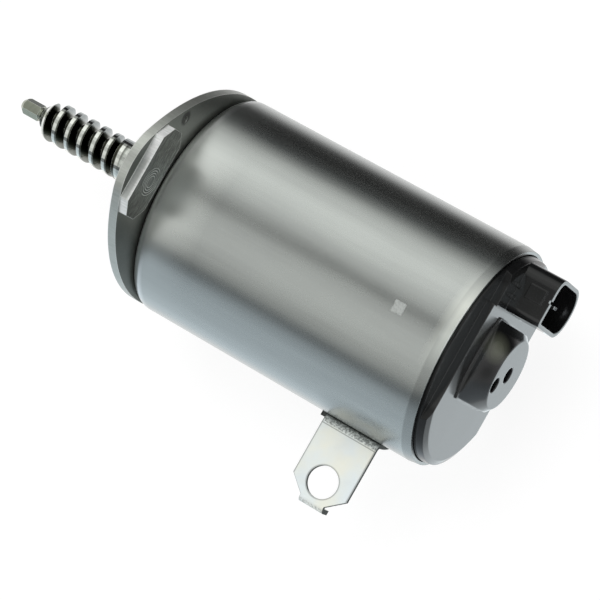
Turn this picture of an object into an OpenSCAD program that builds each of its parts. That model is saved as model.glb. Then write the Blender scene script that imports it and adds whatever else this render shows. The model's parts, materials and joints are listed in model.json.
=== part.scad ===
// Actuator motor of a variable valve train: a brushed motor in a drawn steel can,
// with a worm on its shaft, an eared mounting flange and a moulded plug-in rear cap.
// Millimetres. X runs along the motor from the worm (-X) to the plug (+X), and the
// flange's ear points up (+Z). The origin is the centre of the flange's mating face.

/* [Motor can] */
// Outer diameter of the drawn can
can_d = 60; // [58:0.5:62]
// Length of the can, from the flange to its rear rim
can_len = 84.2; // [82:0.2:88]
// Thickness of the can's wall
can_wall = 1.8; // [1.5:0.1:2.2]
// Radius of the drawn corner at the front of the can
can_corner = 2.2; // [1:0.1:3]
// Inner diameter of the widened mouth that takes the rear cap
mouth_d = 57.4; // [57:0.1:57.8]

/* [Mounting flange] */
// Thickness of the flange plate
plate_t = 2.3; // [2:0.1:3]
// Radius of the plate round the motor
plate_r = 29.5; // [29:0.1:31]
// Distance from the motor's axis to the tip of the ear
ear_reach = 49; // [46:0.2:52]
// Radius of the ear's tip
ear_tip_r = 13.4; // [12:0.1:17]
// Diameter of the pilot that centres the motor
pilot_d = 34; // [33:0.1:36]
// Length of the pilot in front of the mating face
pilot_len = 14; // [13:0.5:16]
// Height of the clamping lug above the plate
lug_h = 2.3; // [1.5:0.1:3]
// Width of the clamping lug across the ear
lug_w = 24; // [20:0.5:26]
// Size of the clamping lug along the ear
lug_len = 11; // [9:0.5:12]
// Chamfer at the clamping lug's four corners
lug_chamfer = 3.3; // [1:0.1:4]

/* [Worm shaft] */
// Outside diameter of the worm
worm_d = 11; // [10.6:0.1:11.4]
// Root diameter of the worm
worm_root_d = 6.2; // [6:0.1:7]
// Axial pitch of the worm, single start, right-handed
worm_pitch = 4.08; // [3.9:0.01:4.2]
// Turns of worm thread
worm_turns = 6; // [5:0.25:6]
// Steps of the thread in one turn
worm_steps = 36; // [24:4:48]
// Distance from the mating face to the tip of the shaft
shaft_reach = 56.2; // [56:0.1:58]
// Size across the flats of the hexagon at the tip
hex_af = 4; // [3.5:0.1:4.2]

/* [Rear cap] */
// Radius of the cap's raised face
face_r = 26.7; // [26:0.1:27.5]
// Height of the raised face above the can's rim
face_rise = 3; // [2.5:0.1:4]
// Distance from the axis to each flat on the raised face
face_flat = 21; // [20:0.1:24]
// Width of the boss that holds the rear bush, between its two flats
boss_w = 21.4; // [20:0.1:24]
// Distance from the axis to the middle of the boss's curved sides
boss_reach = 13.6; // [12:0.1:15]
// Height of the boss above the raised face
boss_h = 5.5; // [5:0.1:7]
// Radius of the boss's round end
boss_end_r = 9.4; // [9:0.1:10]
// Length of the plug hood's mouth
hood_len = 22.3; // [20:0.1:23]
// Width of the plug hood's mouth
hood_w = 13.3; // [12.5:0.1:14]
// Height of the plug hood above the raised face
hood_h = 9.1; // [8:0.1:11]
// Distance from the axis to the middle of the plug hood
hood_y = 20.05; // [19.8:0.05:20.2]

/* [Support bracket] */
// Thickness of the bracket's sheet
tab_t = 1.2; // [1:0.1:1.5]
// Width of the bracket
tab_w = 16; // [14:0.2:18]
// Distance from the mating face to the middle of the bracket
tab_x = 67.7; // [60:0.1:70]
// Distance from the axis to the bracket's end
tab_reach = 52.2; // [50:0.1:54]
// Distance from the axis to the bracket's bolt hole
tab_hole_r = 45.3; // [44:0.1:46]
// Diameter of the bracket's bolt hole
tab_hole_d = 8.4; // [6.6:0.1:9]

/* [Motor inside] */
// Number of armature slots and of commutator bars
slots = 12; // [10:1:14]
// Number of field magnets, and of brushes
poles = 4; // [4:2:4]
// Radius of the armature's laminations
core_r = 21; // [20:0.1:21.2]
// Balls in the front bearing
balls = 8; // [7:1:8]

/* [Hidden] */
$fn = 96;

// Stations along the motor
can_x = plate_t;
can_r = can_d / 2;
bore_r = can_r - can_wall;
rim_x = can_x + can_len;
mouth_r = mouth_d / 2;
mouth_depth = 8;
mouth_x = rim_x - mouth_depth;
crimp_len = 2.6;
crimp_in = 0.4;
front_hole_r = 12;

// Ear of the flange: a tip circle and a wide flank on each side
ear_flank_r = 55;
ear_flank_steps = 30;
ear_tip_z = ear_reach - ear_tip_r;
lug_z = 34.6 + lug_len / 2;
pip_y = 15.4;
pip_z = 34.8;
pip_r = 0.9;
pip_depth = 0.9;

// Front bearing, 12 x 28 x 8, flush with the back of the plate
bearing_w = 8;
bearing_r = 14;
bearing_bore_r = 6;
bearing_x = plate_t - bearing_w;
race_x = bearing_x + bearing_w / 2;
race_r = 10;
ball_r = 2.38;
race_gap = 0.1;
cage_t = 1.4;
cage_side = 0.55;
inner_land_r = 8.3;
outer_land_r = 11.7;
shield_r = 12.3;
shield_bore_r = 8.6;
shield_t = 0.3;
shield_in = 0.25;

// Pilot: seal seat in front, bearing seat behind, a shoulder between them
pilot_r = pilot_d / 2;
pilot_chamfer = 1.2;
seal_r = 11;
seal_w = 5;
seal_in = 0.4;
shoulder_r = 9.2;
washer_space = 0.8;
washer_bore_r = 9.6;
washer_r = 13.7;
washer_t = 0.45;
seat_x = bearing_x - washer_space;
groove_x = -4.8;
groove_w = 3.4;
ring_d = 2.4;
ring_flat = 0.1;
groove_r = pilot_r - 2.1;

// Flange screws, M4 countersunk
screw_n = 3;
screw_r = 2;
screw_head_r = 4;
screw_sink = 0.1;
screw_cone_x = screw_sink + screw_head_r - screw_r;
screw_chamfer = 0.5;
screw_ring_r = 22.5;
screw_start = 60;
screw_tip_x = can_x + can_wall + 1.1;
drive_af = 2.5;
drive_depth = 1.3;

// Shaft
journal_r = bearing_bore_r;
seat_r = 5.5;
collar_r = worm_d / 2 + 0.03;
worm_start_angle = -95;
worm_start_x = -49.3;
worm_end_x = worm_start_x + worm_pitch * (worm_turns + 1) + 0.1;
worm_angle = 20;
worm_floor = 0.95;
worm_runout = 1 / 3;
worm_nose_x = -49.6;
nose_r = 2.1;
nose_slope = 0.95;
worm_root_x = worm_nose_x + (worm_root_d / 2 - nose_r) / nose_slope;
worm_core_r = worm_root_d / 2 - 0.5;
neck_r = 1.75;
neck_len = 0.7;
hex_turn = -5;
hex_corner_r = 2.4;
hex_end_r = 1.3;
journal_x = -15.6;
circlip_t = 1;
circlip_x = bearing_x - circlip_t;
circlip_in = 0.3;
circlip_w = 2.2;
circlip_gap = 4;
spacer_r = 7.5;
collar_chamfer = 0.5;
tail_chamfer = 0.6;
spacer_end_x = 7.6;
rear_x = 82.3;
rear_r = 4;
shaft_end_x = 91.1;

// Armature
core_x = 16;
core_len = 40;
disc_t = 1;
winding_x = 9.2;
winding_w = core_x - disc_t - winding_x;
winding_r = 19.6;
winding_bore = 9.4;
winding_round = [2, 2, 2, 2];
slot_mid_r = 16.2;
slot_big = 2.7;
slot_root_r = 11.9;
slot_small = 1.5;
slot_gap = 1.8;
insulation = 0.3;
comm_x = 63.6;
comm_len = 14.6;
comm_r = 11.5;
comm_root_r = 7.8;
riser_r = 13.2;
riser_w = 2.2;
bar_end = 1;
slit = 0.6;
thrust_w = 2.6;
thrust_t = 0.8;

// Field
magnet_x = 13;
magnet_len = 46;
magnet_bore = 21.7;
magnet_span = 72;
clip_t = 0.5;
clip_in = 0.8;
clip_reach = 5.4;

// Brush gear
carrier_x = 65.2;
carrier_t = 2;
carrier_bore = 14.6;
choke_seat = 1.2;
holder_out_r = 25.4;
holder_wall = 0.5;
brush_w = 6;
brush_len = 8;
brush_front_r = 8;
brush_back_r = 21.4;
brush_gap = 0.06;
side_gap = 0.1;
spring_wire = 0.5;
spring_r = 2.1;
spring_turns = 3.5;
spring_steps = 12;
spring_sides = 5;
choke_z = 4.6;
choke_core_r = 1.6;
choke_coil_r = 2.9;
choke_len = 13;
coil_len = 10.5;
blade_w = 2.8;
blade_t = 0.8;
blade_end_x = 95.8;

// Rear cap
cap_r = mouth_r - 0.2;
ledge_h = 0.8;
ledge_x = rim_x + ledge_h;
face_x = rim_x + face_rise;
cap_wall = 2.7;
cavity_r = 25;
boss_cone_r = 15.8;
boss_side_r = 27;
boss_foot = 0.4;
face_step_y = 12.9;
face_step_z = 18.8;
face_edge = 0.6;
boss_hole_r = 2.2;
boss_hole_depth = 2;
vent_r = 2.1;
vent_at = 7;
vent_angle = 32;
bush_r = 7;
bush_w = 8;
bush_x = 83.4;
bush_gap = 0.02;
bush_stop = 0.8;
hub_r = 10;
hood_top_x = face_x + hood_h;
hood_wall = 1;
hood_near_wall = 1.7;
hood_z = 0.75;
hood_low_y = hood_y - hood_w / 2;
hood_low_z = hood_z - hood_len / 2;
hood_near_z = hood_z + hood_len / 2;
hood_round = [6.5, 6.5, 3.8, 1.6];
hood_floor_x = face_x - 1;
latch_x = hood_top_x - 6.4;
latch_w = 3.8;
latch_len = 4.6;
latch_rise = 0.45;
key_w = 0.8;
key_depth = 0.4;
rib_n = 2;
rib_y = 16.4;
rib_step = 3;
rib_t = 0.9;
rib_len = 3;
rib_rise = 0.8;
seal_groove_x = rim_x - 6;
seal_groove_w = 2.8;
seal_groove_r = cap_r - 1.9;

// Bracket
tab_bend = 0.9;
tab_top_z = 1.5;
tab_foot_angle = 24;
tab_chamfer = 3.8;
tongue_w = 7;
tongue_drop = 3.4;
tongue_bend = 0.5;
foot_out = 1.8;
plate_end_y = -tab_reach + tab_t + tongue_bend;

e = 0.01;

// Points on an arc round [cx, cy]
function arc(cx, cy, r, from, to, steps) =
    [for (i = [0 : steps]) let (a = from + (to - from) * i / steps) [cx + r * cos(a), cy + r * sin(a)]];

// A 2D shape drawn in [y, z] and pulled along X
module prism(x, length) {
    translate([x, 0, 0]) rotate([90, 0, 90]) linear_extrude(length) children();
}

// A 2D shape drawn in [radius, x] and turned round the motor's axis
module turned() {
    rotate([0, 90, 0]) rotate_extrude() children();
}

module rod(x, length, r) {
    translate([x, 0, 0]) rotate([0, 90, 0]) cylinder(h = length, r = r);
}

// A rectangle from [x, y] with a radius of its own at each corner, anticlockwise
module round_rect(x, y, w, h, r) {
    polygon([[x + r[0], y], [x + w - r[1], y], [x + w, y + r[1]], [x + w, y + h - r[2]],
        [x + w - r[2], y + h], [x + r[3], y + h], [x, y + h - r[3]], [x, y + r[0]]]);
    translate([x + r[0], y + r[0]]) circle(r[0]);
    translate([x + w - r[1], y + r[1]]) circle(r[1]);
    translate([x + w - r[2], y + h - r[2]]) circle(r[2]);
    translate([x + r[3], y + h - r[3]]) circle(r[3]);
}

module round_them(n, start = 0) {
    for (i = [0 : n - 1]) rotate([start + i * 360 / n, 0, 0]) children();
}

// Half section of a cup with a rounded bottom corner
module cup_section(r, x1, x2, corner) {
    translate([0, x1]) square([r - corner, corner + e]);
    translate([0, x1 + corner]) square([r, x2 - x1 - corner]);
    translate([r - corner, x1 + corner]) circle(corner);
}

module motor_can() {
    color("silver") difference() {
        turned() difference() {
            intersection() {
                cup_section(can_r, can_x, rim_x, can_corner);
                polygon([[0, can_x], [can_r, can_x], [can_r, rim_x - crimp_len],
                    [can_r - crimp_in, rim_x], [0, rim_x]]);
            }
            translate([0, can_x - 1]) square([front_hole_r, can_len]);
            cup_section(bore_r, can_x + can_wall, rim_x + 1, can_corner / 2);
            translate([0, mouth_x]) square([mouth_r, mouth_depth + 1]);
        }
        round_them(screw_n, screw_start) translate([0, 0, screw_ring_r])
            rod(can_x - 1, can_wall + 2, screw_r);
    }
}

// The plate's egg-shaped outline: its round part and the ear's tip, joined on each side
// by a flank of large radius, with no corner where they meet
module ear_outline() {
    a = ear_flank_r - plate_r;
    b = ear_flank_r - ear_tip_r;
    z = (a * a - b * b + ear_tip_z * ear_tip_z) / (2 * ear_tip_z);
    y = sqrt(a * a - z * z);
    low = atan2(-z, y);
    high = atan2(ear_tip_z - z, y);
    step = (high - low) / ear_flank_steps;
    polygon(concat(arc(0, 0, plate_r, 180 - low, 360 + low, 72),
        arc(-y, z, ear_flank_r, low + step, high - step, ear_flank_steps - 2),
        arc(0, ear_tip_z, ear_tip_r, high, 180 - high, 24),
        arc(y, z, ear_flank_r, 180 - high + step, 180 - low - step, ear_flank_steps - 2)));
}

module lug_outline() {
    w = lug_w / 2;
    h = lug_len / 2;
    c = lug_chamfer;
    polygon([[c - w, lug_z - h], [w - c, lug_z - h], [w, lug_z + c - h], [w, lug_z + h - c],
        [w - c, lug_z + h], [c - w, lug_z + h], [-w, lug_z + h - c], [-w, lug_z + c - h]]);
}

module pilot_section() {
    difference() {
        polygon([[0, -pilot_len], [pilot_r - pilot_chamfer, -pilot_len],
            [pilot_r, pilot_chamfer - pilot_len], [pilot_r, e], [0, e]]);
        translate([groove_r, groove_x]) square([pilot_r, groove_w]);
    }
}

module mounting_flange() {
    color("darkgray") difference() {
        union() {
            prism(0, plate_t) ear_outline();
            prism(plate_t - e, lug_h + e) lug_outline();
            turned() pilot_section();
        }
        rod(-pilot_len - 1, 1 + seal_in + seal_w, seal_r);
        rod(-pilot_len, pilot_len, shoulder_r);
        rod(seat_x, plate_t - seat_x + 1, bearing_r);
        round_them(screw_n, screw_start) translate([0, 0, screw_ring_r])
            turned() polygon([[0, -1], [screw_head_r, -1], [screw_head_r, screw_sink],
                [screw_r, screw_cone_x], [screw_r, plate_t + 1], [0, plate_t + 1]]);
        translate([0, pip_y, pip_z]) rod(plate_t - pip_depth, pip_depth + 1, pip_r);
    }
}

module flange_screws() {
    color("dimgray") round_them(screw_n, screw_start) translate([0, 0, screw_ring_r]) difference() {
        turned() polygon([[0, screw_sink], [screw_head_r, screw_sink], [screw_r, screw_cone_x],
            [screw_r, screw_tip_x - screw_chamfer], [screw_r - screw_chamfer, screw_tip_x],
            [0, screw_tip_x]]);
        prism(-1, 1 + drive_depth) circle(drive_af / sqrt(3), $fn = 6);
    }
}

module flange_o_ring() {
    color("black") turned() difference() {
        translate([groove_r + ring_d / 2 - ring_flat, groove_x + groove_w / 2]) circle(ring_d / 2);
        translate([0, groove_x]) square([groove_r, groove_w]);
    }
}

module shaft_seal() {
    x1 = -pilot_len + seal_in;
    x2 = x1 + seal_w;
    color("saddlebrown") turned() polygon([[seal_r, x1], [seal_r, x2], [8.2, x2], [8.2, x2 - 0.6],
        [6.9, x2 - 0.9], [journal_r + 0.05, x2 - 2.4], [6.7, x1 + 1.7], [7.6, x1 + 1.2],
        [6.5, x1 + 0.2], [6.7, x1], [8.6, x1 + 0.5], [9.2, x1 + 3.2], [10.2, x1 + 3.2], [10.2, x1]]);
}

module preload_washer() {
    color("gray") turned() polygon([[washer_bore_r, seat_x], [washer_r, bearing_x - washer_t],
        [washer_r, bearing_x], [washer_bore_r, seat_x + washer_t]]);
}

module race() {
    translate([race_r, race_x]) circle(ball_r + race_gap);
}

module bearing_outer_ring() {
    color("lightgray") turned() difference() {
        translate([outer_land_r, bearing_x]) square([bearing_r - outer_land_r, bearing_w]);
        race();
        for (x = [bearing_x - 1, plate_t - shield_in - shield_t])
            translate([0, x]) square([shield_r, 1 + shield_in + shield_t]);
    }
}

module bearing_inner_ring() {
    color("lightgray") turned() difference() {
        translate([bearing_bore_r, bearing_x]) square([inner_land_r - bearing_bore_r, bearing_w]);
        race();
    }
}

module bearing_balls() {
    color("white") round_them(balls) translate([race_x, 0, race_r]) sphere(ball_r);
}

module bearing_cage() {
    half_w = ball_r + cage_side;
    color("goldenrod") difference() {
        turned() translate([race_r - cage_t / 2, race_x - half_w]) square([cage_t, 2 * half_w]);
        round_them(balls) translate([race_x, 0, race_r]) sphere(ball_r + race_gap);
    }
}

module bearing_shields() {
    color("gray") turned() for (x = [bearing_x + shield_in, plate_t - shield_in - shield_t])
        translate([shield_bore_r, x]) square([shield_r - shield_bore_r, shield_t]);
}

module bearing_circlip() {
    color("gray") difference() {
        turned() translate([journal_r - circlip_in, circlip_x]) square([circlip_w, circlip_t]);
        translate([circlip_x - 1, -circlip_gap / 2, 0])
            cube([circlip_t + 2, circlip_gap, journal_r + circlip_w]);
    }
}

// The worm's thread, row by row: across one pitch a row has the rising flank's foot,
// the two edges of the crest and the falling flank's foot
worm_depth = (worm_d - worm_root_d) / 2;
worm_flank = worm_depth * tan(worm_angle);
worm_crest = worm_pitch - worm_floor - 2 * worm_flank;
worm_rows = round(worm_turns * worm_steps);
worm_across = [[0, 1], [worm_flank, 0], [worm_flank + worm_crest, 0], [2 * worm_flank + worm_crest, 1]];
function worm_cut(i) = min(1, max(0, (worm_rows - i) / (worm_runout * worm_steps)));
function nose_limit(x) = nose_r + (x - worm_nose_x) * nose_slope;
function worm_ring_point(i, x, r) =
    let (a = worm_start_angle + i * 360 / worm_steps) [x, -r * sin(a), r * cos(a)];
function worm_point(i, j) =
    let (x = max(worm_start_x + worm_pitch * i / worm_steps + worm_across[j][0], worm_root_x + 0.05),
        r = worm_d / 2 - worm_depth * worm_across[j][1] * worm_cut(i))
    worm_ring_point(i, x, min(r, nose_limit(x)));
function two_triangles(a, b, c, d) = [[a, b, c], [a, c, d]];

// One closed skin: a ring at each end and the thread's rows between them. The rows
// run on for a turn past the thread's end, where only their first point is used.
module worm_thread() {
    n = worm_steps;
    last = n + (worm_rows + n + 1) * 4;
    id = function (i, j) j < 4 ? n + i * 4 + j : n + (i + n) * 4;
    points = concat(
        [for (i = [0 : n - 1]) worm_ring_point(i, worm_root_x, worm_root_d / 2 - 0.1)],
        [for (i = [0 : worm_rows + n], j = [0 : 3]) worm_point(i, j)],
        [for (i = [0 : n - 1]) worm_ring_point(worm_rows + i, worm_end_x, worm_d / 2)]);
    start_faces = concat(
        [[for (i = [0 : n - 1]) i]],
        [for (i = [0 : n - 2], t = two_triangles(i, id(i, 0), id(i + 1, 0), i + 1)) t],
        two_triangles(n - 1, id(n - 1, 0), id(n, 0), 0),
        [concat([0, id(n, 0)], [for (j = [3 : -1 : 0]) id(0, j)])]);
    thread_faces = [for (i = [0 : worm_rows - 1], j = [0 : 3],
        t = two_triangles(id(i, j), id(i, j + 1), id(i + 1, j + 1), id(i + 1, j))) t];
    end_faces = concat(
        [concat([id(worm_rows + 1, 0)], [for (j = [0 : 4]) id(worm_rows, j)], [last, last + 1])],
        [for (i = [1 : n - 1], t = two_triangles(id(worm_rows + i, 0), last + i, last + (i + 1) % n,
            id(worm_rows + i + 1, 0))) t],
        [[for (i = [n - 1 : -1 : 0]) last + i]]);
    polyhedron(points, concat(start_faces, thread_faces, end_faces), convexity = 8);
}

module shaft_hexagon() {
    x = -shaft_reach;
    intersection() {
        prism(x, shaft_reach + worm_nose_x) rotate(hex_turn) circle(hex_af / sqrt(3), $fn = 6);
        turned() polygon([[0, x], [hex_end_r, x], [hex_corner_r, x + hex_end_r],
            [hex_corner_r, worm_nose_x - neck_len],
            [neck_r, worm_nose_x - neck_len], [neck_r, worm_nose_x], [0, worm_nose_x]]);
    }
}

module worm_shaft() {
    color("lightsteelblue") union() {
        shaft_hexagon();
        worm_thread();
        turned() polygon([[0, worm_nose_x], [nose_r, worm_nose_x], [worm_root_d / 2, worm_root_x],
            [worm_core_r, worm_root_x], [worm_core_r, worm_end_x],
            [collar_r, worm_end_x], [collar_r, journal_x - collar_chamfer],
            [journal_r, journal_x], [journal_r, circlip_x - 0.05],
            [journal_r - circlip_in, circlip_x - 0.05],
            [journal_r - circlip_in, bearing_x], [journal_r, bearing_x], [journal_r, plate_t],
            [spacer_r, plate_t], [spacer_r, spacer_end_x], [seat_r, spacer_end_x], [seat_r, rear_x],
            [rear_r, rear_x], [rear_r, shaft_end_x - tail_chamfer], [rear_r - tail_chamfer, shaft_end_x],
            [0, shaft_end_x]]);
    }
}

// A pear-shaped slot: a small arc at its root, a large one near the rim
module slot_shape(inset = 0) {
    b = asin((slot_big - slot_small) / (slot_mid_r - slot_root_r));
    polygon(concat(arc(0, slot_root_r, slot_small - inset, 180 + b, 360 - b, 6),
        arc(0, slot_mid_r, slot_big - inset, -b, 180 + b, 10)));
}

module lamination() {
    difference() {
        circle(core_r);
        circle(seat_r);
        for (i = [0 : slots - 1]) rotate(i * 360 / slots) {
            slot_shape();
            translate([-slot_gap / 2, slot_mid_r]) square([slot_gap, core_r]);
        }
    }
}

module armature_core() {
    color("slategray") prism(core_x, core_len) lamination();
}

module armature_end_discs() {
    color("seagreen") for (x = [core_x - disc_t, core_x + core_len]) prism(x, disc_t) lamination();
}

module end_winding(x) {
    turned() round_rect(winding_bore, x, winding_r - winding_bore, winding_w, winding_round);
}

module armature_windings() {
    color("chocolate") union() {
        end_winding(winding_x);
        end_winding(core_x + core_len + disc_t);
        prism(core_x - disc_t - 1, core_len + 2 * disc_t + 2)
            for (i = [0 : slots - 1]) rotate(i * 360 / slots) slot_shape(insulation);
    }
}

module commutator_hub() {
    color("saddlebrown") turned() translate([seat_r, comm_x]) square([comm_root_r - seat_r, comm_len]);
}

module commutator_bars() {
    color("peru") difference() {
        turned() polygon([[comm_root_r, comm_x], [riser_r, comm_x], [riser_r, comm_x + riser_w],
            [comm_r, comm_x + riser_w], [comm_r, comm_x + comm_len - bar_end],
            [comm_root_r, comm_x + comm_len - bar_end]]);
        round_them(slots) translate([comm_x - 1, -slit / 2, comm_root_r - 1]) cube([comm_len + 2, slit, 8]);
    }
}

module thrust_washer() {
    color("gray") turned() translate([rear_r, rear_x]) square([thrust_w, thrust_t]);
}

// The part of the field between two planes through the axis, centred on +z
module magnet_wedge(span) {
    far = can_d;
    prism(magnet_x, magnet_len) polygon([[0, 0], [-far * sin(span / 2), far * cos(span / 2)],
        [0, 2 * far], [far * sin(span / 2), far * cos(span / 2)]]);
}

module field_magnets() {
    color("dimgray") round_them(poles) intersection() {
        turned() translate([magnet_bore, magnet_x]) square([bore_r - magnet_bore, magnet_len]);
        magnet_wedge(magnet_span);
    }
}

module magnet_clips() {
    gap = 360 / poles - magnet_span;
    color("lightsteelblue") round_them(poles, 180 / poles) union() {
        intersection() {
            turned() translate([bore_r - clip_t, magnet_x + 1]) square([clip_t, magnet_len - 2]);
            magnet_wedge(gap);
        }
        for (side = [-1, 1]) rotate([side * gap / 2, 0, 0])
            translate([magnet_x + 1, side > 0 ? 0 : -clip_t, bore_r - clip_reach])
                cube([magnet_len - 2, clip_t, clip_reach - clip_in / 2]);
    }
}

module at_chokes() {
    for (side = [-1, 1]) translate([0, hood_y, side * choke_z]) children();
}

module brush_carrier() {
    color("darkslategray") difference() {
        union() {
            turned() translate([carrier_bore, carrier_x]) square([bore_r - carrier_bore, carrier_t]);
            at_chokes() rod(carrier_x, carrier_t + choke_seat, choke_coil_r + 0.5);
        }
        at_chokes() rod(carrier_x + 1, carrier_t + 3, choke_core_r);
    }
}

module brush_box(inset, r1, r2, x1, x2) {
    w = brush_w / 2 + side_gap + inset;
    translate([x1, -w, r1]) cube([x2 - x1, 2 * w, r2 - r1]);
}

module brush_holders() {
    x = carrier_x + carrier_t;
    deep = brush_len + 2 * side_gap;
    color("gold") round_them(poles, 180 / poles) difference() {
        brush_box(holder_wall, carrier_bore + 0.2, holder_out_r, x, x + deep + 2 * holder_wall);
        brush_box(0, 0, holder_out_r - holder_wall, x + holder_wall, x + holder_wall + deep);
    }
}

module brushes() {
    x = carrier_x + carrier_t + holder_wall;
    color("darkslategray") round_them(poles, 180 / poles) difference() {
        translate([x, -brush_w / 2, brush_front_r])
            cube([brush_len, brush_w, brush_back_r - brush_front_r]);
        rod(x - 1, brush_len + 2, comm_r + brush_gap);
    }
}

// A coil spring standing on +z from z1 to z2: rings of the wire along the coil
module coil_spring(z1, z2) {
    n = spring_sides;
    w = spring_wire / 2;
    steps = round(spring_turns * spring_steps);
    lead = (z2 - z1 - spring_wire) / steps;
    ring = function (i) [for (k = [0 : n - 1]) let (a = i * 360 / spring_steps, b = k * 360 / n,
        r = spring_r + w * cos(b)) [r * cos(a), r * sin(a), z1 + w + lead * i + w * sin(b)]];
    points = [for (i = [0 : steps], p = ring(i)) p];
    faces = concat([[for (k = [0 : n - 1]) k]],
        [for (i = [0 : steps - 1], k = [0 : n - 1]) let (m = (k + 1) % n)
            [i * n + m, i * n + k, (i + 1) * n + k, (i + 1) * n + m]],
        [[for (k = [n - 1 : -1 : 0]) steps * n + k]]);
    polyhedron(points, faces, convexity = 8);
}

module brush_springs() {
    x = carrier_x + carrier_t + holder_wall + brush_len / 2;
    color("silver") round_them(poles, 180 / poles) translate([x, 0, 0])
        coil_spring(brush_back_r, holder_out_r - holder_wall);
}

module choke_cores() {
    color("dimgray") at_chokes() rod(carrier_x + 1, choke_len, choke_core_r);
}

module choke_coils() {
    x = carrier_x + carrier_t + choke_seat;
    color("chocolate") at_chokes() difference() {
        rod(x, coil_len, choke_coil_r);
        rod(x - 1, coil_len + 2, choke_core_r);
    }
}

module blade() {
    x1 = carrier_x + 1 + choke_len;
    translate([x1, -blade_t / 2, -blade_w / 2]) cube([blade_end_x - x1, blade_t, blade_w]);
}

module terminal_blades() {
    color("silver") at_chokes() blade();
}

module hood_outline() {
    round_rect(hood_low_y, hood_low_z, hood_w, hood_len, hood_round);
}

module hood_bore_outline() {
    round_rect(hood_low_y + hood_wall, hood_low_z + hood_wall, hood_w - 2 * hood_wall,
        hood_len - hood_wall - hood_near_wall, [for (r = hood_round) r - hood_wall]);
}

module cap_body() {
    turned() difference() {
        polygon([[0, mouth_x], [cap_r, mouth_x], [cap_r, ledge_x], [0, ledge_x]]);
        translate([seal_groove_r, seal_groove_x]) square([5, seal_groove_w]);
    }
    intersection() {
        turned() polygon([[0, ledge_x - 1], [cap_r, ledge_x - 1], [cap_r, ledge_x],
            [(cap_r + face_r) / 2 + face_edge, face_x - face_edge], [face_r, face_x], [0, face_x]]);
        prism(ledge_x - 1, face_rise + 1) polygon([[-cap_r, -face_flat], [cap_r, -face_flat],
            [cap_r, face_step_z], [face_step_y, face_step_z], [face_step_y, face_flat],
            [-cap_r, face_flat]]);
    }
}

// Two flats and two curved sides, drawn in [y, z]
module boss_outline(grow) {
    w = boss_w / 2 + grow;
    intersection() {
        translate([-w, -boss_side_r]) square([2 * w, 2 * boss_side_r]);
        translate([0, boss_reach - boss_side_r]) circle(boss_side_r + grow);
        translate([0, boss_side_r - boss_reach]) circle(boss_side_r + grow);
    }
}

// The boss is turned to a cone, which leaves its four corners standing, on a low foot
module boss() {
    intersection() {
        prism(face_x - 1, boss_h + 1) boss_outline(0);
        turned() polygon([[0, face_x - 1], [boss_cone_r, face_x - 1], [boss_cone_r, face_x],
            [boss_end_r, face_x + boss_h], [0, face_x + boss_h]]);
    }
    prism(face_x - 1, 1 + boss_foot) boss_outline(boss_foot);
}

// A latch nose on the hood's near side and two ribs at its foot
module hood_details() {
    translate([latch_x, hood_y - latch_w / 2, hood_near_z - e]) cube([latch_len, latch_w, latch_rise + e]);
    for (i = [0 : rib_n - 1]) translate([face_x - 1, rib_y + i * rib_step, hood_near_z - e])
        cube([1 + rib_rise, rib_t, rib_len]);
}

module rear_cap() {
    color([0.12, 0.12, 0.13]) difference() {
        union() {
            difference() {
                union() {
                    cap_body();
                    boss();
                    prism(ledge_x - 1, hood_top_x - ledge_x + 1) hood_outline();
                    hood_details();
                }
                rod(mouth_x - 1, face_x - cap_wall - mouth_x + 1, cavity_r);
            }
            rod(bush_x - bush_stop, face_x - cap_wall - bush_x + bush_stop + 1, hub_r);
        }
        prism(hood_floor_x, hood_h + 3) hood_bore_outline();
        rod(bush_x - 2, bush_w + 2, bush_r);
        rod(face_x + boss_h - boss_hole_depth, boss_hole_depth + 1, boss_hole_r);
        translate([0, -vent_at * sin(vent_angle), vent_at * cos(vent_angle)])
            rod(face_x + boss_h - boss_hole_depth, boss_hole_depth + 1, vent_r);
        at_chokes() blade();
        translate([hood_top_x - key_depth, hood_y - key_w / 2, hood_near_z - hood_near_wall - 1])
            cube([key_depth + 1, key_w, hood_near_wall + 2]);
    }
}

module cap_seal() {
    mid_r = (seal_groove_r + mouth_r) / 2;
    half = (mouth_r - seal_groove_r) / 2;
    color("black") turned() intersection() {
        translate([mid_r, seal_groove_x + seal_groove_w / 2]) circle(half + ring_flat);
        translate([seal_groove_r, seal_groove_x]) square([2 * half, seal_groove_w]);
    }
}

module rear_bush() {
    color("darkgoldenrod") turned() translate([rear_r + bush_gap, bush_x])
        square([bush_r - rear_r - bush_gap, bush_w]);
}

// A quarter ring of the bracket's sheet round a bend, drawn in [y, z]
module bend(y, z, r, side) {
    intersection() {
        translate([y, z]) difference() {
            circle(r + tab_t);
            circle(r);
        }
        translate([y + (side - 1) / 2 * (r + tab_t), z]) square(r + tab_t);
    }
}

// The bracket's foot in [y, z]: a strip curved to the can
module foot_section() {
    out_r = can_r + tab_t;
    bend_z = tab_top_z - tab_t - tab_bend;
    intersection() {
        difference() {
            circle(out_r);
            circle(can_r);
        }
        polygon([[0, 0], [-2 * out_r, bend_z], [-2 * out_r, -out_r],
            [-2 * out_r * cos(tab_foot_angle), -2 * out_r * sin(tab_foot_angle)]]);
    }
}

// The bend away from the foot and the flat plate
module plate_section() {
    bend_y = -can_r - tab_t - tab_bend;
    bend(bend_y, tab_top_z - tab_t - tab_bend, tab_bend, 1);
    translate([plate_end_y, tab_top_z - tab_t]) square([bend_y - plate_end_y, tab_t]);
}

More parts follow.
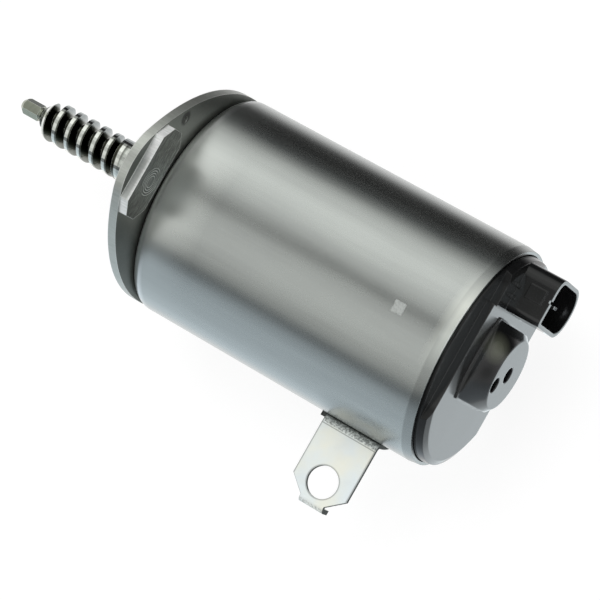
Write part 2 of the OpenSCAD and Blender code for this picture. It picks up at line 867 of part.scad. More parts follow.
module plate_outline() {
    w = tab_w / 2;
    difference() {
        polygon([[tab_x - w, -can_r + tab_bend], [tab_x + w, -can_r + tab_bend],
            [tab_x + w, plate_end_y + tab_chamfer], [tab_x + tongue_w / 2, plate_end_y],
            [tab_x - tongue_w / 2, plate_end_y], [tab_x - w, plate_end_y + tab_chamfer]]);
        translate([tab_x, -tab_hole_r]) circle(tab_hole_d / 2);
    }
}

module support_bracket() {
    tongue_z = tab_top_z - tab_t - tongue_bend;
    color("whitesmoke") {
        prism(tab_x - tab_w / 2 - foot_out, tab_w + foot_out) foot_section();
        intersection() {
            prism(tab_x - tab_w / 2, tab_w) plate_section();
            translate([0, 0, -can_r]) linear_extrude(can_d) plate_outline();
        }
        prism(tab_x - tongue_w / 2, tongue_w) {
            bend(plate_end_y, tongue_z, tongue_bend, -1);
            translate([-tab_reach, tongue_z - tongue_drop]) square([tab_t, tongue_drop]);
        }
    }
}

motor_can();
mounting_flange();
flange_screws();
flange_o_ring();
shaft_seal();
preload_washer();
bearing_outer_ring();
bearing_inner_ring();
bearing_balls();
bearing_cage();
bearing_shields();
bearing_circlip();
worm_shaft();
armature_core();
armature_end_discs();
armature_windings();
commutator_hub();
commutator_bars();
thrust_washer();
field_magnets();
magnet_clips();
brush_carrier();
brush_holders();
brushes();
brush_springs();
choke_cores();
choke_coils();
terminal_blades();
rear_cap();
cap_seal();
rear_bush();
support_bracket();
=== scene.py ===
import json
import math

import bpy
from mathutils import Matrix, Vector


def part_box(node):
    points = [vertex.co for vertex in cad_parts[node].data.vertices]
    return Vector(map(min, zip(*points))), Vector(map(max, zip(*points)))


# Looks of an actuator motor: a camera, a light tent, a floor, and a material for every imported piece.
# X runs along the motor from the worm to the rear cap, +Z points to the flange's ear, and +Y to the
# side of the plug hood.
# Lengths are metres. The places inside materials, and the camera's sensor, are millimetres.
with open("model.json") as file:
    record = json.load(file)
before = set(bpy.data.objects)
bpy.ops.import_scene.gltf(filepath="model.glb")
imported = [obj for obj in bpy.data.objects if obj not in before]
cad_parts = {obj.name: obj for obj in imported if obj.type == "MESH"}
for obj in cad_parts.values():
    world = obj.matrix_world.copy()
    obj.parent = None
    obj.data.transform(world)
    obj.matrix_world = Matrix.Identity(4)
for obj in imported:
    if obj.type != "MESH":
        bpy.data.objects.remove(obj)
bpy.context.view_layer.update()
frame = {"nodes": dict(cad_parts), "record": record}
MM = 0.001

scene = bpy.context.scene
scene.view_settings.view_transform = "Standard"


# Camera, where the photograph's perspective puts it
EYE = Vector((270.3, -9.0, 623.8)) * MM
RIGHT = Vector((0.815, 0.494, -0.303)).normalized()
AHEAD = Vector((-0.3485, 0.0, -0.937)).normalized()
UP = RIGHT.cross(AHEAD).normalized()
FOCAL_PX = 2652.0
FRAME_PX = 600.0
SENSOR_WIDTH = 36.0
NEAREST_SEEN = 50 * MM

camera_data = bpy.data.cameras.new("camera")
camera_data.sensor_width = SENSOR_WIDTH
camera_data.lens = FOCAL_PX / FRAME_PX * SENSOR_WIDTH
camera_data.clip_start = NEAREST_SEEN
camera = bpy.data.objects.new("camera", camera_data)
scene.collection.objects.link(camera)
camera_axes = Matrix((RIGHT, UP, -AHEAD)).transposed()
camera.matrix_world = Matrix.Translation(EYE) @ camera_axes.to_4x4()
scene.camera = camera


# Node helpers
FULL_RANGE = (0.0, 1.0)
NOISE_RANGE = (0.3, 0.7)


class Tree:
    """Adds shader nodes to a tree. An input is a plain value or another node's socket."""

    def __init__(self, tree):
        self.tree = tree

    def feed(self, socket, value):
        """Gives an input a plain value, or links another socket to it."""
        if isinstance(value, bpy.types.NodeSocket):
            self.tree.links.new(value, socket)
        else:
            socket.default_value = value

    def add(self, kind, inputs=None, **settings):
        """Adds a node, with its inputs by name or number and its other settings by name."""
        node = self.tree.nodes.new(kind)
        for name, value in settings.items():
            setattr(node, name, value)
        for name, value in (inputs or {}).items():
            self.feed(node.inputs[name], value)
        return node

    def math(self, operation, a, b=0.0):
        return self.add("ShaderNodeMath", {0: a, 1: b}, operation=operation).outputs[0]

    def times(self, first, *others):
        for other in others:
            first = self.math("MULTIPLY", first, other)
        return first

    def highest(self, first, *others):
        for other in others:
            first = self.math("MAXIMUM", first, other)
        return first

    def plus(self, a, b):
        return self.math("ADD", a, b)

    def rest_of(self, mask):
        return self.math("SUBTRACT", 1.0, mask)

    def average(self, a, b, share=0.5):
        """The average of two values, in which the second counts for its share."""
        return self.plus(self.times(a, 1.0 - share), self.times(b, share))

    def apart(self, value, middle):
        """How far a value is from a middle one, on either side."""
        return self.math("ABSOLUTE", self.math("SUBTRACT", value, middle))

    def facing(self, axis):
        """How far the surface faces along an axis, from -1 to 1."""
        normal = self.add("ShaderNodeTexCoord").outputs["Normal"]
        return self.add("ShaderNodeSeparateXYZ", {"Vector": normal}).outputs[axis]

    def place(self, axis):
        """The part's own coordinate along an axis, in millimetres."""
        metres = self.add("ShaderNodeTexCoord").outputs["Object"]
        scaled = self.add("ShaderNodeVectorMath", {0: metres, "Scale": 1.0 / MM}, operation="SCALE")
        return self.add("ShaderNodeSeparateXYZ", {"Vector": scaled.outputs[0]}).outputs[axis]

    def distance(self, axes, middle):
        """How far a point is from a middle one in millimetres, over the axes that are named."""
        total = 0.0
        for axis, centre in zip(axes, middle):
            away = self.math("SUBTRACT", self.place(axis), centre)
            total = self.plus(total, self.times(away, away))
        return self.math("SQRT", total)

    def fade(self, value, edges, to=FULL_RANGE):
        """Goes from to[0] where the value is edges[0] to to[1] where it is edges[1], and stays there."""
        return self.add("ShaderNodeMapRange", {
            "Value": value, "From Min": edges[0], "From Max": edges[1],
            "To Min": to[0], "To Max": to[1]}).outputs[0]

    def zone(self, axis, edges, to=FULL_RANGE):
        """A fade along one of the part's own axes, in millimetres."""
        return self.fade(self.place(axis), edges, to)

    def spot(self, axes, middle, edges, to=FULL_RANGE):
        """A fade with the distance from a place, in millimetres."""
        return self.fade(self.distance(axes, middle), edges, to)

    def coords(self, scale=(1, 1, 1), rotate=(0, 0, 0), shift=(0, 0, 0)):
        """The part's own coordinates in metres, stretched, turned and shifted."""
        here = self.add("ShaderNodeTexCoord").outputs["Object"]
        return self.add("ShaderNodeMapping", {
            "Vector": here, "Scale": scale, "Rotation": rotate, "Location": shift}).outputs[0]

    def noise(self, scale, detail=3.0, rough=0.55, stretch=(1, 1, 1), shift=(0, 0, 0), distortion=0.0,
              rotate=(0, 0, 0)):
        """Noise with so many blots to the metre, drawn out along an axis where stretch is under 1."""
        return self.add("ShaderNodeTexNoise", {
            "Vector": self.coords(stretch, rotate, shift), "Scale": scale, "Detail": detail,
            "Roughness": rough, "Distortion": distortion}).outputs["Fac"]

    def mix(self, factor, a, b):
        """A colour between a and b, each of them a colour or a socket.

        The node's sockets go by number, because those of its other types have the same names.
        """
        node = self.add("ShaderNodeMix", data_type="RGBA")
        first, second = [(*colour, 1.0) if isinstance(colour, tuple) else colour for colour in (a, b)]
        for index, value in ((0, factor), (6, first), (7, second)):
            self.feed(node.inputs[index], value)
        return node.outputs[2]

    def paint(self, base, colour, *masks):
        """The base, covered by a colour where every mask is 1."""
        return self.mix(self.times(*masks), base, colour)

    def ramp(self, factor, stops):
        """A ramp through stops, each of them a place from 0 to 1 and a colour."""
        node = self.add("ShaderNodeValToRGB", {"Fac": factor})
        elements = node.color_ramp.elements
        while len(elements) < len(stops):
            elements.new(0.5)
        for element, (place, colour) in zip(elements, stops):
            element.position = place
            element.color = (*colour, 1.0)
        return node.outputs["Color"]

    def rounded(self, radius, samples=6):
        """The normal of a surface whose edges are rounded to a radius."""
        return self.add("ShaderNodeBevel", {"Radius": radius}, samples=samples).outputs[0]

    def sharp_edges(self, radius, sharpest=0.90):
        """1 along sharp edges and 0 away from them: where the rounded normal leaves the face's own."""
        nearly_flat = 0.995
        own = self.add("ShaderNodeNewGeometry").outputs["Normal"]
        alike = self.add("ShaderNodeVectorMath", {0: self.rounded(radius, samples=8), 1: own},
                         operation="DOT_PRODUCT").outputs["Value"]
        return self.fade(alike, (nearly_flat, sharpest))

    def bump(self, height, distance, normal=None):
        """The normal of a surface in relief, as deep as the distance, on top of another normal."""
        inputs = {"Height": height, "Distance": distance, "Strength": 1.0}
        if normal is not None:
            inputs["Normal"] = normal
        return self.add("ShaderNodeBump", inputs).outputs[0]

    def close(self, shader):
        """Sends a shader to the material's output."""
        self.feed(self.add("ShaderNodeOutputMaterial").inputs["Surface"], shader)


def new_material(name):
    material = bpy.data.materials.new(name)
    material.use_nodes = True
    material.node_tree.nodes.clear()
    return material, Tree(material.node_tree)


def surface(name, build, **constants):
    """A Principled material. build(tree) gives the sockets that vary, and constants the ones that don't."""
    material, tree = new_material(name)
    shader = tree.add("ShaderNodeBsdfPrincipled")
    for socket, value in constants.items():
        shader.inputs[socket.replace("_", " ")].default_value = value
    for socket, value in build(tree).items():
        tree.feed(shader.inputs[socket], value)
    tree.close(shader.outputs[0])
    return material


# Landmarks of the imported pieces, in millimetres
def reach(node, axis):
    """A node's lowest and highest place along an axis."""
    return [corner["XYZ".index(axis)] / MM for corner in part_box(node)]


FRONT_X, RIM_X = reach("motor_can", "X")
CAN_R = reach("motor_can", "Z")[1]
LUG_TOP_X = reach("mounting_flange", "X")[1]
EAR_Z = reach("mounting_flange", "Z")[1]
TIP_X = reach("worm_shaft", "X")[0]
CAP_X, HOOD_X = reach("rear_cap", "X")
BRACKET_HALF = 8.0
BRACKET_X = reach("support_bracket", "X")[1] - BRACKET_HALF
BRACKET_END_Y = reach("support_bracket", "Y")[0]
BEND_Y = -CAN_R - 2.4
HOLE_Y, HOLE_R = BRACKET_END_Y + 6.9, 4.2
WORM_PITCH = 4.08
WORM_START_X, WORM_START_DEGREES = TIP_X + 6.9, 95.0


# Plain materials
SLOW_SHARE = 0.55


def metal_surface(name, dark, light, rough, grain=900.0, stretch=(1, 1, 1), bump=0.01 * MM):
    """Metal with a fine grain, slow colour blotches and softened edges."""
    blotches, edge_radius = 60.0, 0.15 * MM

    def build(tree):
        fine = tree.noise(grain, 4.0, 0.6, stretch)
        slow = tree.noise(blotches, 3.0, 0.5, shift=(0.3, 0.1, 0.7))
        both = tree.average(fine, slow, SLOW_SHARE)
        return {
            "Base Color": tree.mix(tree.fade(both, NOISE_RANGE), dark, light),
            "Roughness": tree.fade(both, NOISE_RANGE, rough),
            "Normal": tree.bump(fine, bump, tree.rounded(edge_radius)),
        }

    return surface(name, build, Metallic=1.0)


def flow_marks(tree):
    """Broad faint marks where the plastic flowed in its mould."""
    return tree.noise(45.0, 3.0, 0.6, (1, 1, 2.5), shift=(0.2, 0.5, 0.1))


def plastic_surface(name, dark, light, rough, grain=700.0, bump=0.006 * MM):
    """Moulded plastic: a slight texture, faint flow marks and rounded edges."""
    edge_radius = 0.2 * MM

    def build(tree):
        fine = tree.noise(grain, 4.0, 0.6)
        slow = flow_marks(tree)
        return {
            "Base Color": tree.mix(tree.fade(slow, (0.35, 0.7)), dark, light),
            "Roughness": tree.fade(slow, NOISE_RANGE, rough),
            "Normal": tree.bump(fine, bump, tree.rounded(edge_radius)),
        }

    return surface(name, build)


def winding_surface():
    """Varnished copper wire: fine turns across the coil under a clear coat."""
    dark, light = (0.42, 0.14, 0.05), (0.66, 0.28, 0.12)
    turns_to_the_metre, turn_height = 260.0, 0.12 * MM

    def build(tree):
        turns = tree.add("ShaderNodeTexWave", {
            "Vector": tree.coords(), "Scale": turns_to_the_metre, "Distortion": 2.5, "Detail": 2.0},
            bands_direction="X").outputs["Fac"]
        slow = tree.fade(tree.noise(120.0), NOISE_RANGE)
        return {
            "Base Color": tree.mix(slow, dark, light),
            "Roughness": tree.fade(slow, FULL_RANGE, (0.25, 0.4)),
            "Normal": tree.bump(turns, turn_height),
        }

    return surface("winding_copper", build, Metallic=0.85, Coat_Weight=0.6, Coat_Roughness=0.2)


# The can
def etched_square(tree):
    """The plain square that is etched into the can, with ragged sides."""
    middle_x, middle_y, half = RIM_X - 14.5, 1.0, 1.6
    soft, ragged_by = 0.25, 0.9
    ragged = tree.times(tree.math("SUBTRACT", tree.noise(900.0), 0.5), ragged_by)

    def inside(axis, middle):
        away = tree.apart(tree.place(axis), middle)
        return tree.fade(tree.plus(away, ragged), (half, half - soft))

    on_top = tree.math("GREATER_THAN", tree.place("Z"), 0.0)
    return tree.times(inside("X", middle_x), inside("Y", middle_y), on_top)


def painted_bracket_reflection(tree):
    """A painted reflection of the bracket, on the part of the can above its bend."""
    return tree.times(
        tree.zone("Y", (-CAN_R + 5.5, -CAN_R + 1.5)),
        tree.zone("X", (BRACKET_X - 8.7, BRACKET_X + 1.3)),
        tree.zone("X", (BRACKET_X + 16.3, BRACKET_X + 10.3)),
        tree.zone("Z", (2.0, 6.0)))


def painted_rim_highlight(tree):
    """A painted highlight on the upper side of the can's widened mouth."""
    return tree.times(
        tree.zone("X", (RIM_X - 4.7, RIM_X - 1.3)),
        tree.zone("Y", (18.0, 9.0)),
        tree.zone("Y", (-9.0, 1.0)),
        tree.zone("Z", (0.0, 10.0)))


def can_surface():
    """Drawn steel: draw lines along the can, faint stains and one plain light-etched square, with a painted
    reflection of the bracket, a painted highlight by the rim, painted shade on the crimped end, and painted
    light next to the flange and along its front edge.
    """
    dark, light, grain_grey = (0.505, 0.52, 0.51), (0.615, 0.635, 0.62), (0.40, 0.41, 0.40)
    etched_white, bracket_reflection_grey, rim_highlight_white = (0.80, 0.81, 0.80), (0.15, 0.165, 0.17), (0.90, 0.91, 0.85)
    crimp_shade_grey, light_by_flange_white, front_edge_light_white = (0.12, 0.125, 0.125), (0.95, 0.97, 0.94), (1.0, 1.0, 1.0)
    grain_height, edge_radius = 0.004 * MM, 0.25 * MM
    lug_middle_y = -3.0

    def build(tree):
        lines = tree.noise(420.0, 4.0, 0.6, (0.06, 1, 1))
        grain = tree.noise(1500.0, 3.0, 0.6, (0.7, 1, 1))
        stain = tree.noise(34.0, 4.0, 0.55, (0.6, 1, 1), shift=(0.4, 0.2, 0.9), distortion=0.4)
        mottled = tree.fade(tree.noise(1900.0, 2.0, 0.5, shift=(0.1, 0.6, 0.2)), (0.40, 0.58), (0.30, 0.62))
        both = tree.average(tree.average(lines, grain), stain, 0.4)

        etched = etched_square(tree)
        rim_highlight = painted_rim_highlight(tree)
        crimp_shade = tree.times(tree.zone("X", (RIM_X - 2.7, RIM_X - 2.3)), tree.rest_of(rim_highlight))
        end_face = tree.fade(tree.facing("X"), (0.25, 0.7), (0.35, 0.8))
        upper_side = tree.zone("Z", (0.0, 12.0))
        near_flange = tree.times(tree.zone("X", (FRONT_X + 16.7, FRONT_X + 2.7)), upper_side)
        near_lug = tree.fade(tree.apart(tree.place("Y"), lug_middle_y), (19.0, 10.0), (0.12, 0.85))
        front_edge = tree.times(tree.zone("X", (FRONT_X + 3.5, FRONT_X + 1.9)), upper_side)

        base = tree.mix(tree.fade(both, (0.36, 0.64)), dark, light)
        base = tree.paint(base, grain_grey, tree.fade(grain, NOISE_RANGE, (0.0, 0.22)))
        base = tree.paint(base, etched_white, etched, mottled)
        # painted reflection: the bracket, mirrored dark on the can above its bend
        base = tree.paint(base, bracket_reflection_grey, painted_bracket_reflection(tree), 0.7)
        # painted highlight: a light band on the upper side of the can's mouth
        base = tree.paint(base, rim_highlight_white, rim_highlight, 0.75)
        # painted shade: the crimped end of the can, where it turns towards the cap, painted dark
        base = tree.paint(base, crimp_shade_grey, crimp_shade, end_face)
        # painted light: the upper side of the can next to the flange, most of all round the lug, and its
        # front edge painted lighter
        base = tree.paint(base, light_by_flange_white, near_flange, near_lug)
        base = tree.paint(base, front_edge_light_white, front_edge, 0.9)

        rough = tree.fade(both, NOISE_RANGE, (0.24, 0.30))
        for mask, added in ((rim_highlight, 0.12), (near_flange, 0.03), (etched, 0.25)):
            rough = tree.plus(rough, tree.times(mask, added))
        height = tree.average(lines, grain, 0.4)
        return {
            "Base Color": base,
            "Roughness": rough,
            "Normal": tree.bump(height, grain_height, tree.rounded(edge_radius)),
        }

    return surface("can_steel", build, Metallic=1.0)


# The flange
def turned_rings(tree):
    """The rings that a cutter left on the lug's pad: where they are, and how light they are."""
    middle_y, middle_z = -2.0, EAR_Z - 9.4
    outer, inner, radians_to_the_mm = (4.2, 3.6), (1.2, 1.6), 9.0
    far = tree.distance("YZ", (middle_y, middle_z))
    patches = tree.noise(330.0, 2.0, 0.5, shift=(0.2, 0.5, 0.1))
    broken = tree.fade(patches, (0.42, 0.60), (0.12, 1.0))
    where = tree.times(tree.fade(far, outer), tree.fade(far, inner), broken)
    light = tree.fade(tree.math("SINE", tree.times(far, radians_to_the_mm)), (0.1, 0.9))
    return where, light


def lug_shade(tree):
    """Painted shade on the middle of the lug's long outer side."""
    return tree.times(
        tree.zone("Y", (5.0, 1.5)),
        tree.zone("Y", (-9.4, -8.2)),
        tree.zone("X", (LUG_TOP_X - 0.1, LUG_TOP_X - 0.8), (0.0, 0.75)),
        tree.zone("Z", (EAR_Z - 6.0, EAR_Z - 4.0)))


def pip_smudge(tree):
    """The dark smudge round the pip, on the back of the ear only."""
    pip_y, pip_z, smear_by = 15.8, EAR_Z - 14.0, 1.4
    smear = tree.times(tree.noise(900.0, 3.0, 0.6, (1, 0.4, 1)), smear_by)
    far = tree.plus(tree.distance("YZ", (pip_y, pip_z)), smear)
    return tree.times(tree.fade(far, (2.9, 2.2)), tree.zone("X", (FRONT_X - 1.5, FRONT_X - 0.9)))


def flange_surface():
    """Machined steel: the cut rims are bright, the turned faces painted dark as shade, the lug's cut sides
    painted near white as a highlight with painted shade on the middle of its long side, sharp edges worn
    and painted light as highlights, and the lug's pad scuffed.
    """
    face_shade_dark, face_shade_light, outside_dark = (0.14, 0.150, 0.138), (0.215, 0.225, 0.208), (0.06, 0.066, 0.056)
    pad_dark, pad_light, scuff_grey = (0.045, 0.048, 0.042), (0.10, 0.105, 0.096), (0.24, 0.25, 0.235)
    ring_dark, ring_light, smudge_black = (0.05, 0.053, 0.048), (0.50, 0.51, 0.49), (0.02, 0.02, 0.02)
    cut_dark, cut_light, edge_wear_and_highlight_white = (0.54, 0.56, 0.52), (0.64, 0.65, 0.62), (0.86, 0.87, 0.84)
    lug_highlight_grey, lug_highlight_white, lug_shade_grey = (0.80, 0.82, 0.80), (1.0, 1.0, 1.0), (0.34, 0.36, 0.34)
    mark_height, edge_radius, edge_wear_and_highlight_radius = 0.022 * MM, 0.2 * MM, 0.3 * MM

    def build(tree):
        fine = tree.noise(1300.0, 4.0, 0.6)
        marks = tree.noise(2200.0, 3.0, 0.6, (0.12, 1, 1))
        slow = tree.noise(90.0, 3.0, 0.5, shift=(0.3, 0.1, 0.7))
        both = tree.fade(tree.average(fine, slow, SLOW_SHARE), NOISE_RANGE)
        scratches = tree.noise(1500.0, 5.0, 0.7, (1, 0.3, 1.5), distortion=0.4, rotate=(0.6, 0, 0))

        rim = tree.fade(tree.math("ABSOLUTE", tree.facing("X")), (0.8, 0.45))
        on_pad = tree.zone("X", (LUG_TOP_X - 1.0, LUG_TOP_X - 0.6))
        on_lug = tree.zone("X", (FRONT_X, FRONT_X + 0.3))
        outside = tree.times(
            tree.zone("Z", (EAR_Z - 3.8, EAR_Z - 3.2)),
            tree.zone("X", (FRONT_X - 0.8, FRONT_X - 0.1)))
        rings_where, rings_light = turned_rings(tree)
        smudge = pip_smudge(tree)

        # painted shade: the faces along the axis are painted dark
        face = tree.mix(both, face_shade_dark, face_shade_light)
        face = tree.paint(face, outside_dark, outside, 0.5)
        face = tree.paint(face, smudge_black, smudge, 0.85)
        pad = tree.mix(both, pad_dark, pad_light)
        pad = tree.paint(pad, scuff_grey, tree.fade(scratches, (0.46, 0.66)), 0.8)
        pad = tree.paint(pad, tree.mix(rings_light, ring_dark, ring_light), rings_where, 0.85)
        cut = tree.mix(tree.fade(marks, NOISE_RANGE), cut_dark, cut_light)
        # painted highlight: the lug's cut sides are painted near white
        cut = tree.mix(on_lug, cut, tree.mix(tree.fade(marks, (0.35, 0.65)), lug_highlight_grey, lug_highlight_white))
        # painted shade on the middle of the lug's long side
        cut = tree.paint(cut, lug_shade_grey, lug_shade(tree), on_lug)
        base = tree.mix(rim, tree.mix(on_pad, face, pad), cut)
        uneven = tree.fade(slow, (0.3, 0.6), (0.5, 1.0))
        # wear and painted highlight: sharp edges painted near white
        base = tree.paint(base, edge_wear_and_highlight_white, tree.sharp_edges(edge_wear_and_highlight_radius), uneven, tree.rest_of(smudge))

        height = tree.average(fine, marks, 0.4)
        return {
            "Base Color": base,
            "Roughness": tree.fade(both, FULL_RANGE, (0.32, 0.46)),
            "Metallic": tree.fade(tree.times(rim, on_lug), FULL_RANGE, (0.9, 0.45)),
            "Normal": tree.bump(height, mark_height, tree.rounded(edge_radius)),
        }

    return surface("flange_steel", build)


# The shaft
def worm_crest(tree, slow):
    """The crest of the thread: the middle of each turn, followed round the shaft."""
    crest_wobble = 0.12
    phase = -WORM_START_X / WORM_PITCH - WORM_START_DEGREES / 360.0
    turn = tree.math("ARCTAN2", tree.times(tree.place("Y"), -1.0), tree.place("Z"))
    along = tree.math("DIVIDE", tree.place("X"), WORM_PITCH)
    across = tree.math("SUBTRACT", along, tree.math("DIVIDE", turn, 2.0 * math.pi))
    across = tree.math("FRACT", tree.plus(across, phase))
    across = tree.plus(across, tree.times(tree.math("SUBTRACT", slow, 0.5), crest_wobble))
    return tree.times(tree.fade(across, (0.17, 0.22)), tree.fade(across, (0.50, 0.42)))


def shaft_surface():
    """Ground steel: painted highlights on the worm's crests, painted black as shade in its grooves, dull on
    the hexagon.
    """
    steel_dark, steel_light, crest_highlight_white = (0.54, 0.56, 0.52), (0.76, 0.78, 0.74), (0.96, 0.97, 0.92)
    flat_dark, flat_light, flat_shaded = (0.36, 0.38, 0.31), (0.48, 0.50, 0.42), (0.09, 0.10, 0.085)
    cone_dark, groove_shade_dark, groove_shade_light = (0.085, 0.09, 0.075), (0.014, 0.016, 0.011), (0.085, 0.088, 0.064)
    top_grey, edge_wear_and_highlight_white = (0.29, 0.315, 0.32), (0.90, 0.91, 0.86)
    grain_height, edge_radius, edge_wear_and_highlight_radius = 0.006 * MM, 0.12 * MM, 0.22 * MM

    def build(tree):
        fine = tree.noise(1500.0, 4.0, 0.6, (1, 0.4, 0.4))
        slow = tree.noise(150.0, 3.0, 0.5)
        both = tree.fade(tree.average(fine, slow, SLOW_SHARE), NOISE_RANGE)

        on_worm = tree.times(
            tree.zone("X", (TIP_X + 7.7, TIP_X + 8.4)),
            tree.zone("X", (TIP_X + 35.0, TIP_X + 34.0)))
        crest = worm_crest(tree, slow)
        lit_top = tree.zone("Y", (3.4, 4.4))
        lit_foot = tree.zone("Y", (-3.2, -5.4), (0.0, 0.45))
        groove = tree.times(on_worm, tree.rest_of(tree.highest(crest, lit_top, lit_foot)))
        hexagon = tree.zone("X", (TIP_X + 7.0, TIP_X + 6.5))
        cone = tree.times(
            tree.zone("X", (TIP_X + 6.2, TIP_X + 6.7)),
            tree.zone("X", (TIP_X + 11.3, TIP_X + 10.6)),
            tree.zone("Y", (4.5, 3.0)))

        flats = tree.mix(both, flat_dark, flat_light)
        flats = tree.mix(tree.fade(tree.facing("Y"), (0.7, 0.85)), flats, flat_shaded)
        base = tree.mix(hexagon, tree.mix(both, steel_dark, steel_light), flats)
        base = tree.paint(base, cone_dark, cone, 0.8)
        # painted highlight: the worm's crests painted near white
        base = tree.paint(base, crest_highlight_white, crest, on_worm, 0.8)
        # painted shade: the worm's grooves painted black
        base = tree.paint(base, tree.mix(both, groove_shade_dark, groove_shade_light), groove)
        base = tree.paint(base, top_grey, lit_top, on_worm, 0.92)
        # wear and painted highlight: sharp edges of the hexagon and worm painted near white
        sharp_edges = tree.times(tree.sharp_edges(edge_wear_and_highlight_radius), tree.highest(hexagon, tree.times(on_worm, 0.4)))
        base = tree.paint(base, edge_wear_and_highlight_white, sharp_edges)
        return {
            "Base Color": base,
            "Roughness": tree.plus(tree.fade(both, FULL_RANGE, (0.14, 0.24)), tree.times(hexagon, 0.12)),
            "Normal": tree.bump(fine, grain_height, tree.rounded(edge_radius)),
        }

    return surface("shaft_steel", build, Metallic=1.0)


# The rear cap
def dull_places(tree):
    """Where the moulding shines less: both ends of the boss's upper side, and the face's outer ring."""
    upper_end = tree.spot("XYZ", (HOOD_X - 6.3, 7.9, 9.4), (4.8, 2.8))
    lower_end = tree.spot("XYZ", (HOOD_X - 5.4, -2.0, 11.2), (5.2, 0.8), (0.0, 0.9))
    outer_ring = tree.spot("YZ", (0.0, 0.0), (25.8, 26.6), (0.0, 0.7))
    outer_ring = tree.times(outer_ring, tree.zone("Z", (8.0, 14.0)))
    return tree.highest(outer_ring, upper_end, lower_end)


def cap_surface():
    """Glossy black moulding, with its edges well rounded round the boss and tight elsewhere, and a painted
    reflection of a soft light on the boss's side.
    """
    dark, light, light_spot_grey = (0.006, 0.0062, 0.0064), (0.011, 0.0112, 0.0115), (0.098, 0.104, 0.076)
    tight_radius, added_radius, grain_height = 0.35 * MM, 0.3 * MM, 0.006 * MM

    def build(tree):
        fine = tree.noise(700.0, 4.0, 0.6)
        slow = flow_marks(tree)
        near_boss = tree.spot("YZ", (0.0, 0.0), (19.0, 15.0))
        outside = tree.zone("X", (CAP_X + 1.0, CAP_X + 2.0))
        radius = tree.plus(tight_radius, tree.times(near_boss, outside, added_radius))
        # painted reflection: a soft light spot on the side of the boss, painted grey and less glossy
        painted_light_spot = tree.spot("XYZ", (HOOD_X - 5.8, 4.4, 11.4), (4.4, 1.0))
        painted_light_spot = tree.times(painted_light_spot, tree.fade(slow, (0.25, 0.6), (0.7, 1.0)))
        base = tree.mix(tree.fade(slow, (0.35, 0.7)), dark, light)
        return {
            "Base Color": tree.paint(base, light_spot_grey, painted_light_spot),
            "Roughness": tree.plus(tree.fade(slow, NOISE_RANGE, (0.11, 0.19)), tree.times(painted_light_spot, 0.2)),
            "Specular IOR Level": tree.fade(dull_places(tree), FULL_RANGE, (0.5, 0.14)),
            "Normal": tree.bump(fine, grain_height, tree.rounded(radius)),
        }

    return surface("cap_plastic", build, IOR=1.58)


# The support bracket
def outline(tree):
    """The plate's outline, which is painted darker: its sharp edges, its two long sides and the rim of its
    hole.
    """
    by_side = tree.apart(tree.place("X"), BRACKET_X)
    by_side = tree.fade(by_side, (BRACKET_HALF - 0.45, BRACKET_HALF - 0.15))
    by_hole = tree.spot("XY", (BRACKET_X, HOLE_Y), (HOLE_R + 0.45, HOLE_R + 0.15))
    edges = tree.highest(tree.sharp_edges(0.3 * MM, 0.95), by_side, by_hole)
    return tree.times(edges, tree.zone("Y", (BEND_Y + 0.6, BEND_Y - 0.2)))


def painted_seam_shadow(tree):
    """Painted shadow in the gap between the bracket and the can."""
    by_can = tree.zone("Y", (-CAN_R - 0.6, -CAN_R - 0.1))
    by_side = tree.zone("X", (BRACKET_X - BRACKET_HALF + 0.1, BRACKET_X - BRACKET_HALF - 0.3))
    return tree.times(tree.highest(by_can, by_side), tree.zone("Z", (-4.0, -1.5)))


